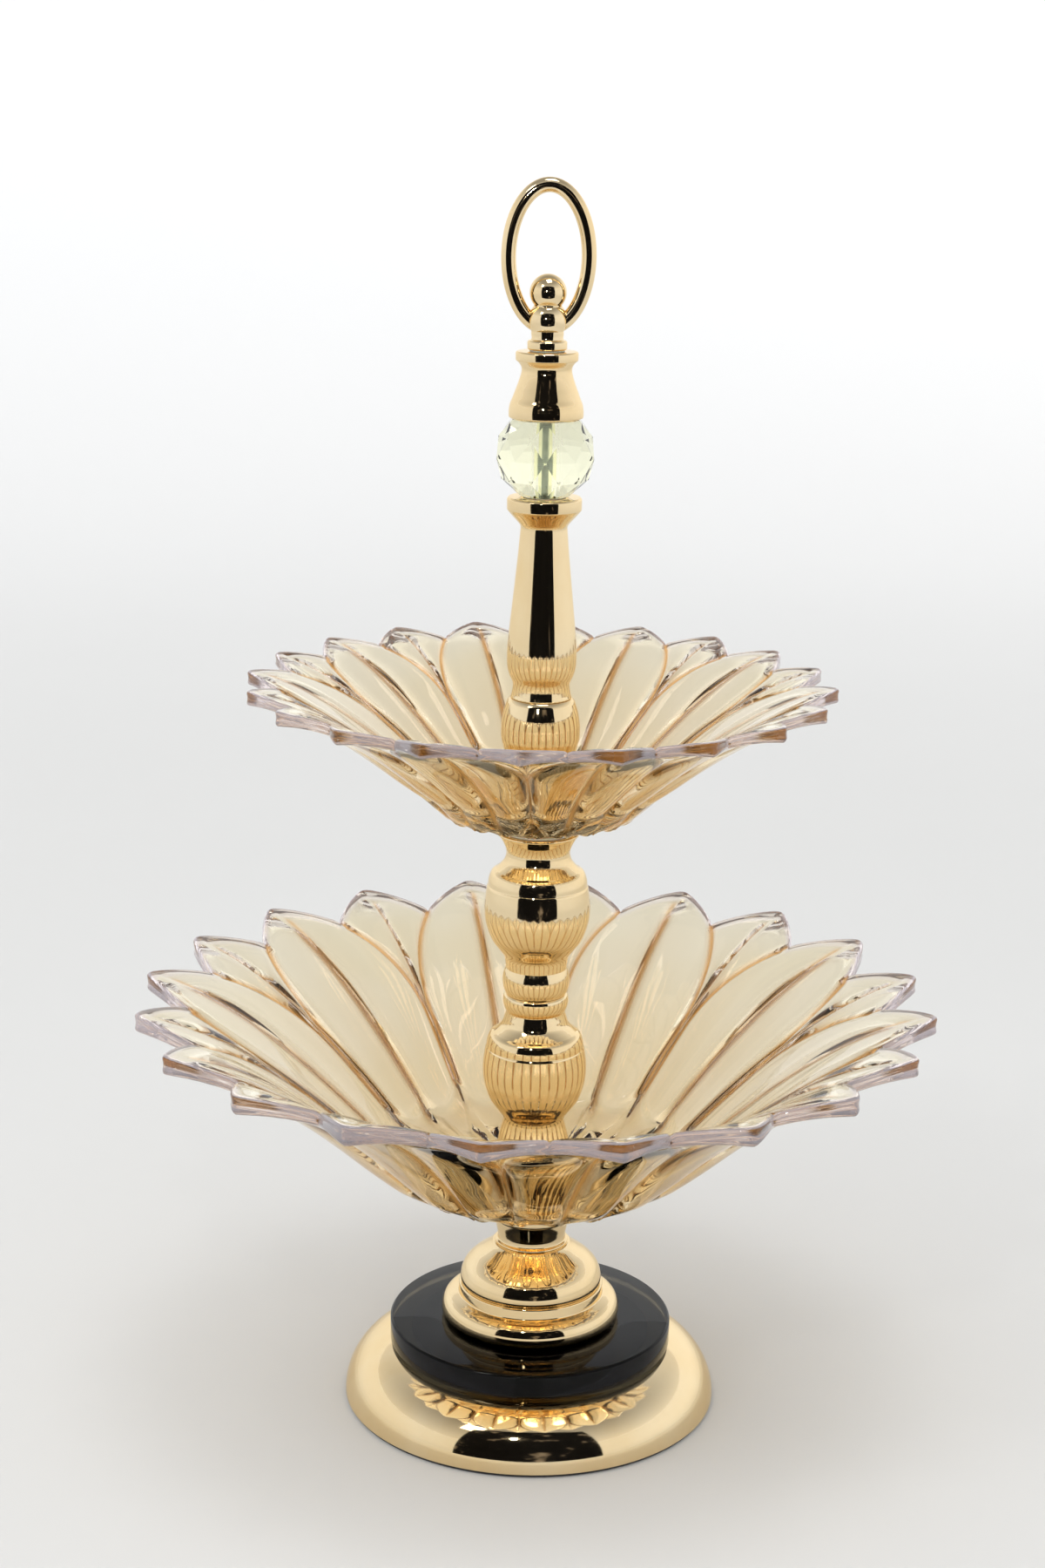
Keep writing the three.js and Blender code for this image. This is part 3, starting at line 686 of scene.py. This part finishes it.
def section(bowl, v):
    """A closed line round the glass at v, of (radius, level, s, groove, rim, depth)."""
    k = bowl.scale
    line = []

    def add(radius, level, s, groove=0.0, rim=0.0, depth=1.0):
        line.append((radius, level, s, groove, rim, depth))

    # Floor inside, rising from the stem to the petals' rounded ends
    foot_radius, foot_level, foot_s, _ = inside(bowl, v, 0.0)
    ring = 20 * k
    power = 1.15 + 1.2 * min(1.0, 2 * v) ** 4
    add(bowl.hole, bowl.floor_top, v)
    for i in range(9):
        share = i / 9
        level = bowl.floor_top + (foot_level - bowl.floor_top) * share**power
        add(ring + (foot_radius - ring) * share, level, v + (foot_s - v) * ease(share), depth=0.2)
    # Inside of the wall
    steps = 64
    for i in range(steps + 1):
        t = 0.6 * i / steps + 0.4 * ease(i / steps)
        radius, level, s, groove = inside(bowl, v, t)
        below_rim = bowl.rim_radius(s) - radius
        add(radius, level, s, groove, 0.6 * ease((4 * k - below_rim) / (2.5 * k)), 0.0)
    # Rim: rounded over, then a nearly upright face
    rim_radius, top = bowl.rim_radius(v), line[-1][1]
    bottom = outside(bowl, v, 1.0)[1]
    corner = 1.4 * k
    # Painted marks on the rim: a brown tick of painted shade down its face at each notch, and dark brown
    # painted reflections over its outer corner and down its face, strongest at the tips
    tick = 0.8 * bell((v - 0.5) * SECTOR * rim_radius, 0.5 * k)
    brown_painted_light = max(0.0, 1.4 * cos(pi * v) ** 2 - 0.4)
    for i, (radius, level) in enumerate(arc((rim_radius - corner, top - corner), corner, 82, 0, 5)):
        add(radius, level, v, brown_painted_light if i > 2 else 0.0, 1.0, 0.0)
    for i in range(1, 6):
        share = i / 6
        level = (top - corner) * (1 - share) + (bottom + corner) * share
        groove = max(tick * sin(pi * share), brown_painted_light if share < bowl.painted_reflection_reach else 0.0)
        add(rim_radius - 0.3 * k * sin(pi * share), level, v, groove, 1.0, 0.0)
    for radius, level in arc((rim_radius - corner, bottom + corner), corner, 0, -70, 4):
        add(radius, level, v, 0.0, 0.9, 0.1)
    # Outside of the wall, down to the lobes' rounded ends
    steps = 50
    for i in range(1, steps + 1):
        t = 1 - i / steps
        radius, level, s, groove = outside(bowl, v, t)
        add(radius, level, s, groove, 0.6 * ease((radius - rim_radius + 3 * k) / (2 * k)), 0.9 - 0.75 * t)
    # Underside, in to the boss that stands on the cup
    nose_radius, nose_level = line[-1][:2]
    boss = 16 * k
    for i in range(1, 9):
        share = 1 - i / 8
        level = nose_level * (1 - (1 - share) ** 1.6) + k * 0.8 * abs(2 * v - 1) * sin(pi * share)
        add(boss + (nose_radius - boss) * share, level if share else 0.0, v)
    add(bowl.hole, 0.0, v)
    return line


def flower_bowl(bowl):
    """One sector shaped from a grid, and spun into the whole bowl."""
    base = foot(bowl.node)
    sections = [section(bowl, abs(v)) for v in ACROSS]
    columns, rows = len(ACROSS) - 1, len(sections[0]) - 1
    bpy.ops.object.select_all(action="DESELECT")
    bpy.ops.mesh.primitive_grid_add(x_subdivisions=columns, y_subdivisions=rows, size=2.0)
    piece = bpy.context.object
    piece.name = piece.data.name = bowl.node + "_glass"
    mesh = piece.data
    marks = [mesh.attributes.new(name, "FLOAT", "POINT") for name in MARKS]
    for vertex in mesh.vertices:
        column = round((vertex.co.x + 1) / 2 * columns)
        row = round((vertex.co.y + 1) / 2 * rows)
        radius, level, s, *values = sections[column][row]
        angle = radians(bowl.azimuth) + SECTOR * (s if ACROSS[column] > 0 else -s)
        vertex.co = (radius * cos(angle) * MM, radius * sin(angle) * MM, (base + level) * MM)
        for mark, value in zip(marks, values):
            mark.data[vertex.index].value = value
    edit(piece)
    bpy.ops.mesh.spin(steps=SECTORS, angle=tau, dupli=True, center=(0, 0, 0), axis=(0, 0, 1))
    bpy.ops.mesh.select_all(action="SELECT")
    bpy.ops.mesh.remove_doubles(threshold=0.01 * MM)
    bpy.ops.mesh.select_all(action="DESELECT")
    bpy.ops.mesh.select_non_manifold()
    bpy.ops.mesh.bridge_edge_loops()
    bpy.ops.mesh.select_all(action="SELECT")
    bpy.ops.mesh.normals_make_consistent(inside=False)
    done()
    smooth_shade(piece, 50)
    finish_piece(piece, bowl.node)


LOWER_BOWL = Bowl(
    "lower_bowl", tip=155.0, notch=136.7, depth=76.3, floor_edge=48.0, floor_top=11.7,
    scale=1.0, sag=0.0, azimuth=29.3, hole=4.5, painted_reflection_reach=0.4,
)
UPPER_BOWL = Bowl(
    "upper_bowl", tip=112.0, notch=100.3, depth=47.4, floor_edge=35.0, floor_top=11.0,
    scale=0.76, sag=5.1, azimuth=32.4, hole=3.5, painted_reflection_reach=0.9,
)


# ---------------------------------------------------------------- stem and base

LOWER_HOLE, UPPER_HOLE = 3.4, 2.4  # radii of the holes that the rods pass through
LOWER_THREAD, UPPER_THREAD = 3.12, 2.12  # radii of the holes that they screw into


def bulb(bottom, extra):
    """The bulb that both balusters share, from its waist to its neck, with a step round its shoulder.
    extra is how much wider its middle is than 20 mm."""
    body = run(
        [
            (11.7 + extra, bottom),
            (12.3 + extra, bottom + 2.4),
            (15.0 + extra, bottom + 6.0),
            (17.4 + extra, bottom + 9.6),
            (19.3 + extra, bottom + 15.0),
            (20.0 + extra, bottom + 20.0),
            (19.9 + extra, bottom + 25.0),
            (19.1 + extra, bottom + 30.4),
        ]
    )
    shoulder = run(
        [
            (18.75 + extra, bottom + 30.9),
            (18.6 + extra, bottom + 33.0),
            (17.7 + extra, bottom + 35.6),
            (16.7 + extra, bottom + 36.6),
        ],
        4,
    )
    cove = run(
        [
            (15.9 + extra, bottom + 36.9),
            (14.4 + extra, bottom + 38.4),
            (12.7 + extra, bottom + 40.6),
            (11.9 + extra, bottom + 43.0),
        ]
    )
    return [*body, *shoulder, *cove]


def base_pieces():
    """The pad, the dome with its weight and washer, and the glass disc on its cushion."""
    outline = [(0, 0), (72.6, 0), (73.0, 0.4), (73.0, 1.1), (72.6, 1.5), (0, 1.5)]
    finish_piece(turned("felt_pad", outline, foot("base_pad"), soft=0, closed=False), "base_pad")

    wall, flat, reach, high = 1.2, 52.0, 22.0, height("base_dome")
    angles = [radians(a) for a in range(0, 91, 3)]
    outer = [(flat + reach * cos(a), high * sin(a)) for a in angles]
    inner = [(flat + (reach - wall) * cos(a), (high - wall) * sin(a)) for a in reversed(angles)]
    outline = [*outer, (LOWER_HOLE, high), (LOWER_HOLE, high - wall), *inner]
    finish_piece(turned("gold_dome", outline, foot("base_dome"), sides=192), "base_dome")

    high = height("base_weight")
    outline = [(LOWER_HOLE, 0), (43.0, 0), (46.0, 2.5), (46.0, high - 1), (45.0, high), (LOWER_HOLE, high)]
    finish_piece(turned("ballast", outline, foot("base_weight"), soft=0.6), "base_weight")
    high = height("base_washer")
    outline = [(LOWER_HOLE, 0), (9.0, 0), (9.0, high), (LOWER_HOLE, high)]
    finish_piece(turned("rod_washer", outline, foot("base_washer"), sides=64, soft=0.2), "base_washer")

    high = height("disc_gasket")
    outline = [(LOWER_HOLE, 0), (47.0, 0), (47.0, high), (LOWER_HOLE, high)]
    finish_piece(turned("disc_cushion", outline, foot("disc_gasket"), soft=0.12), "disc_gasket")
    high = height("glass_disc")
    outline = [(4.5, 0), (55.2, 0), (56.0, 0.8), (56.0, high - 0.8), (55.2, high), (4.5, high)]
    finish_piece(turned("smoked_disc", outline, foot("glass_disc"), sides=192, soft=0.15), "glass_disc")


def foot_pieces():
    """The rolled ring and the bell of the foot, and the cup that the lower bowl stands on."""
    ring = run([(33.0, 0), (34.4, 0.9), (35.2, 2.2), (35.4, 3.8), (35.0, 6.0), (34.0, 7.9), (32.4, 9.1)], 5)
    ring += [(30.6, 9.6), (29.0, 9.9), (28.7, 10.2), (28.7, 13.9), (28.4, 14.3)]
    outline = hollow(ring, 22.0, LOWER_HOLE, roof=3.0)
    finish_piece(turned("rolled_ring", outline, foot("foot_ring"), sides=192), "foot_ring")

    shell = [(27.3, 0), (27.3, 0.5), (28.0, 0.9), (28.0, 3.0)]
    shell += run(
        [(27.9, 3.6), (27.4, 5.4), (26.1, 7.9), (23.3, 10.7), (19.5, 13.5), (16.6, 15.9), (15.3, 17.3)], 6
    )
    shell += [(14.9, 17.5)]
    outline = hollow(shell, 12.0, LOWER_HOLE, roof=3.0)
    finish_piece(turned("foot_bell_shell", outline, foot("foot_bell"), sides=192), "foot_bell")

    cup = [(14.3, 0), (14.5, 0.3), (14.5, 0.8), (13.5, 1.2)]
    cup += run([(13.35, 1.5), (13.4, 3.0), (13.9, 5.6), (14.5, 8.2), (14.95, 10.2)], 5)
    cup += [(15.2, 10.7), (15.2, 13.5)]
    outline = hollow(cup, 11.0, LOWER_HOLE, floor=3.0, roof=3.0)
    finish_piece(turned("neck_cup_turned", outline, foot("neck_cup")), "neck_cup")


def gaskets():
    """The soft washers round the bowls, and the thin ones round the crystal and under the finial."""
    gasket = 13.5
    for bowl, hole in ((LOWER_BOWL, LOWER_HOLE), (UPPER_BOWL, UPPER_HOLE)):
        for side in ("below", "above"):
            node = f"{bowl.node}_gasket_{side}"
            high = height(node)
            outline = [(hole, 0), (gasket, 0), (gasket, high), (hole, high)]
            finish_piece(turned(f"{node}_ring", outline, foot(node), sides=72, soft=0.25), node)
    thin = (
        ("crystal_washer_below", 8.0, STAND),
        ("crystal_washer_above", 8.0, STAND),
        ("finial_washer", 6.5, WASHER),
    )
    for node, radius, body in thin:
        high = height(node)
        outline = [(UPPER_HOLE, 0), (radius, 0), (radius, high), (UPPER_HOLE, high)]
        finish_piece(turned(f"{node}_ring", outline, foot(node), sides=64, soft=0.12), node, body)


def balusters():
    """The two bulbs of the stem, with the trumpet foot under the lower one and the cup over the upper."""
    top = height("lower_baluster")
    trumpet = [(17.6, 0), (18.0, 0.5), (18.0, 1.8)]
    trumpet += run([(17.4, 2.6), (16.2, 6.0), (14.9, 11.0), (13.7, 17.0), (12.7, 21.0)], 5)
    bead = run(
        [(11.3, top - 7.2), (12.0, top - 5.9), (12.6, top - 4.0), (12.7, top - 2.0), (12.4, top - 0.6)], 5
    )
    outline = hollow([*trumpet, *bulb(24.0, 0.2)[1:], *bead, (11.7, top)], 7.5, LOWER_HOLE, floor=3.0)
    finish_piece(turned("lower_baluster_turned", outline, foot("lower_baluster")), "lower_baluster")

    top = height("upper_baluster")
    bead = [(11.6, 0)]
    bead += run([(12.0, 0.9), (12.6, 2.4), (12.95, 4.6), (12.95, 6.9), (12.5, 8.9), (11.8, 10.6)], 5)
    cup = run([(12.35, top - 7.4), (12.7, top - 6.0), (13.8, top - 3.6), (15.2, top - 1.3)], 5)
    outline = [*bead, *bulb(13.2, 0.4), *cup, (15.8, top - 0.7), (15.8, top)]
    outline = hollow(outline, 7.5, UPPER_HOLE, roof=3.0)
    finish_piece(turned("upper_baluster_turned", outline, foot("upper_baluster")), "upper_baluster")


def columns():
    """The column with its foot, and the cap that stands on the crystal."""
    top = height("column_foot")
    outline = [(14.0, 0), (14.0, 1.2)]
    outline += run(
        [(13.3, 2.4), (12.4, 6.0), (12.0, 10.5), (12.7, 15.5), (14.1, 21.2), (14.9, 24.6), (15.0, 28.4),
         (14.9, 30.2), (14.2, 34.4), (12.9, 38.6)]
    )
    outline += [(12.3, 39.5), (11.8, top)]
    outline = hollow(outline, 7.5, UPPER_HOLE, floor=3.0, roof=3.0)
    finish_piece(turned("column_foot_turned", outline, foot("column_foot")), "column_foot")

    top = height("column")
    outline = [(11.5, 0), (11.6, 0.4)]
    outline += run(
        [(11.2, 1.5), (10.8, 4.0), (10.9, 6.0), (12.2, 9.0), (13.0, 12.2), (13.15, 16.0), (13.0, 20.0),
         (12.3, 28.5), (11.0, 41.0), (9.7, 54.0), (8.8, 64.4)]
    )
    outline += run([(8.75, 65.2), (9.2, 66.2), (10.4, 67.6), (12.4, 69.8), (13.6, top - 5.2)], 4)
    outline += [(14.0, top - 4.6), (14.0, top - 0.7), (13.4, top)]
    outline = hollow(outline, 5.5, UPPER_HOLE, floor=3.0, roof=3.0)
    finish_piece(turned("column_turned", outline, foot("column")), "column")

    top = height("bell_cap")
    outline = [(13.6, 0), (13.9, 0.4), (13.9, 2.6)]
    outline += run(
        [(13.8, 3.2), (13.5, 5.0), (12.6, 7.2), (11.7, 9.6), (10.8, 12.0), (9.8, 15.0), (9.35, 17.0),
         (9.5, 18.6), (10.4, 20.0), (11.3, 20.8)], 5
    )
    outline += [(11.6, 21.1), (11.6, top - 0.5), (11.1, top)]
    outline = hollow(outline, 6.0, UPPER_HOLE, floor=3.0, roof=3.0)
    finish_piece(turned("bell_cap_turned", outline, foot("bell_cap")), "bell_cap")


def crystal():
    """Rows of flat facets, each row turned half a facet from the one below, closed at both ends."""
    base, top, around = foot("crystal_ball"), height("crystal_ball"), 10
    half_turn = tau / around / 2
    rows = [(9.3, 0.0), (16.2, 6.0), (18.9, 14.2), (17.4, 22.0), (13.0, top)]
    bpy.ops.object.select_all(action="DESELECT")
    bpy.ops.mesh.primitive_circle_add(
        vertices=around, radius=rows[0][0] * MM, fill_type="NOTHING", location=(0, 0, 0)
    )
    piece = bpy.context.object
    piece.name = piece.data.name = "crystal_cut"
    edit(piece)
    bpy.ops.transform.translate(value=(0, 0, base * MM))
    for (radius, level), (next_radius, next_level) in zip(rows, rows[1:]):
        centre = (0, 0, (base + next_level) * MM)
        grow = next_radius / radius
        bpy.ops.mesh.extrude_region_move(
            TRANSFORM_OT_translate={"value": (0, 0, (next_level - level) * MM)}
        )
        bpy.ops.transform.resize(value=(grow, grow, 1), center_override=centre)
        bpy.ops.transform.rotate(value=half_turn, orient_axis="Z", center_override=centre)
    bpy.ops.mesh.select_all(action="SELECT")
    bpy.ops.mesh.quads_convert_to_tris(quad_method="SHORTEST_DIAGONAL")
    bpy.ops.mesh.select_all(action="DESELECT")
    bpy.ops.mesh.select_non_manifold()
    bpy.ops.mesh.edge_face_add()
    bpy.ops.mesh.select_all(action="SELECT")
    bpy.ops.mesh.normals_make_consistent(inside=False)
    done()
    return piece


def drill(piece, radius, low, high):
    """Cuts a round hole on the stem's axis, from one height to another in millimetres."""
    bpy.ops.object.select_all(action="DESELECT")
    bpy.ops.mesh.primitive_cylinder_add(
        vertices=48, radius=radius * MM, depth=(high - low) * MM, location=(0, 0, (low + high) / 2 * MM)
    )
    bit = bpy.context.object
    bpy.ops.object.transform_apply(location=True, rotation=True, scale=True)
    modifier(piece, "BOOLEAN", object=bit, operation="DIFFERENCE", solver="EXACT")
    bpy.data.objects.remove(bit)


def crystal_ball():
    """The cut crystal, drilled for the rod that shows through it."""
    piece = crystal()
    base = foot("crystal_ball")
    rod_hole = 3.5
    drill(piece, rod_hole, base - 1, base + height("crystal_ball") + 1)
    finish_piece(piece, "crystal_ball")


def finial():
    """A collar and two balls in one turned piece."""
    lower_ball, lower_middle = 7.2, 10.76
    upper_ball, upper_middle = 6.8, 20.7
    collar, neck = 6.0, 5.2

    def meets(ball, radius):
        """The angle above a ball's middle where its surface is at this radius."""
        return degrees(asin(sqrt(ball**2 - radius**2) / ball))

    outline = [(0, 4.1), (UPPER_THREAD, 4.1), (UPPER_THREAD, 0), (6.9, 0), (7.35, 0.5), (7.35, 2.9)]
    outline += [(6.9, 3.4), (collar, 3.7), (5.8, 4.4), (collar, 5.6)]
    start, end = -meets(lower_ball, collar), meets(lower_ball, neck)
    outline += arc((0, lower_middle), lower_ball, start, end, 22)
    outline += arc((0, upper_middle), upper_ball, -meets(upper_ball, neck), 88, 28)
    outline += [(0, upper_middle + upper_ball)]
    piece = turned("finial_turned", outline, foot("finial"), sides=96, soft=0.15, closed=False)
    finish_piece(piece, "finial", FINIAL)


def ring_handle():
    """Round wire bent to an oval and closed."""
    low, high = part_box("ring_handle")
    wire, thin = 2.75, 0.1  # the wire's radius in millimetres, and in the torus that is bent to shape
    rounder = 0.1  # how far the oval reaches past the node's, whose outline is made of chords
    across = (high[0] - low[0]) / 2 / MM - wire + rounder
    up = (high[2] - low[2]) / 2 / MM - wire + rounder
    middle = (high[2] + low[2]) / 2
    bpy.ops.object.select_all(action="DESELECT")
    bpy.ops.mesh.primitive_torus_add(
        major_segments=ROUND, minor_segments=36, major_radius=1.0, minor_radius=thin,
        rotation=(radians(90), 0, 0), location=(0, 0, 0),
    )
    piece = bpy.context.object
    bpy.ops.object.transform_apply(location=True, rotation=True, scale=True)
    piece.name = piece.data.name = "oval_ring"
    for vertex in piece.data.vertices:
        x, y, z = vertex.co
        angle = atan2(z, x)
        out = (hypot(x, z) - 1.0) / thin * wire
        side = y / thin * wire
        normal = Vector((cos(angle) / across, 0, sin(angle) / up)).normalized()
        centre = Vector((across * cos(angle), 0, up * sin(angle)))
        vertex.co = (centre + normal * out) * MM + Vector((0, side * MM, middle))
    smooth_shade(piece)
    finish_piece(piece, "ring_handle", FINIAL)


def hexagon(name, node, flats, holes):
    """A hexagon bar with its corners turned off at both ends, drilled from each end."""
    base, high = foot(node), height(node)
    corner = flats / 2 / cos(pi / 6)
    bpy.ops.object.select_all(action="DESELECT")
    bpy.ops.mesh.primitive_cylinder_add(
        vertices=6, radius=corner * MM, depth=high * MM, location=(0, 0, (base + high / 2) * MM)
    )
    piece = bpy.context.object
    bpy.ops.object.transform_apply(location=True, rotation=True, scale=True)
    piece.name = piece.data.name = name
    bpy.ops.object.select_all(action="DESELECT")
    bpy.ops.mesh.primitive_cylinder_add(
        vertices=96, radius=(corner + 0.05) * MM, depth=(high + 0.02) * MM,
        location=(0, 0, (base + high / 2) * MM),
    )
    turned_off = bpy.context.object
    bpy.ops.object.transform_apply(location=True, rotation=True, scale=True)
    soften(turned_off, corner - flats / 2 + 0.1, segments=2, angle=60)
    modifier(piece, "BOOLEAN", object=turned_off, operation="INTERSECT", solver="EXACT")
    bpy.data.objects.remove(turned_off)
    for radius, low, top in holes:
        drill(piece, radius, low, top)
    smooth_shade(piece)
    finish_piece(piece, node)


def threaded_rod(name, node, radius, pitch):
    """A rod with a rolled thread, as rings of a fine V, thinner at its ends."""
    high, root, plain_end = height(node), radius - 0.54 * pitch, 0.6
    outline = [(0, 0), (root, 0)]
    turns = int((high - 2 * plain_end) / pitch)
    for i in range(turns):
        level = plain_end + i * pitch
        outline += [(root, level), (radius, level + pitch * 0.44), (radius, level + pitch * 0.56)]
    outline += [(root, plain_end + turns * pitch), (root, high), (0, high)]
    piece = turned(name, outline, foot(node), sides=28, soft=0, closed=False)
    finish_piece(piece, node)


def hardware():
    """The base nut, the long nut that joins the rods, and the two rods."""
    nut = foot("base_nut")
    hexagon("rod_nut", "base_nut", 10.0, [(LOWER_THREAD, nut - 1, nut + 6)])
    middle = foot("rod_coupling") + height("rod_coupling") / 2
    holes = [(LOWER_THREAD, middle - 16, middle), (UPPER_THREAD, middle - 1, middle + 16)]
    hexagon("long_nut", "rod_coupling", 9.0, holes)
    threaded_rod("lower_threaded_rod", "lower_rod", 3.0, 1.0)
    threaded_rod("upper_threaded_rod", "upper_rod", 2.0, 0.7)


camera()
floor()
light()
tent_opening()
base_pieces()
foot_pieces()
gaskets()
flower_bowl(LOWER_BOWL)
flower_bowl(UPPER_BOWL)
balusters()
columns()
crystal_ball()
finial()
ring_handle()
hardware()
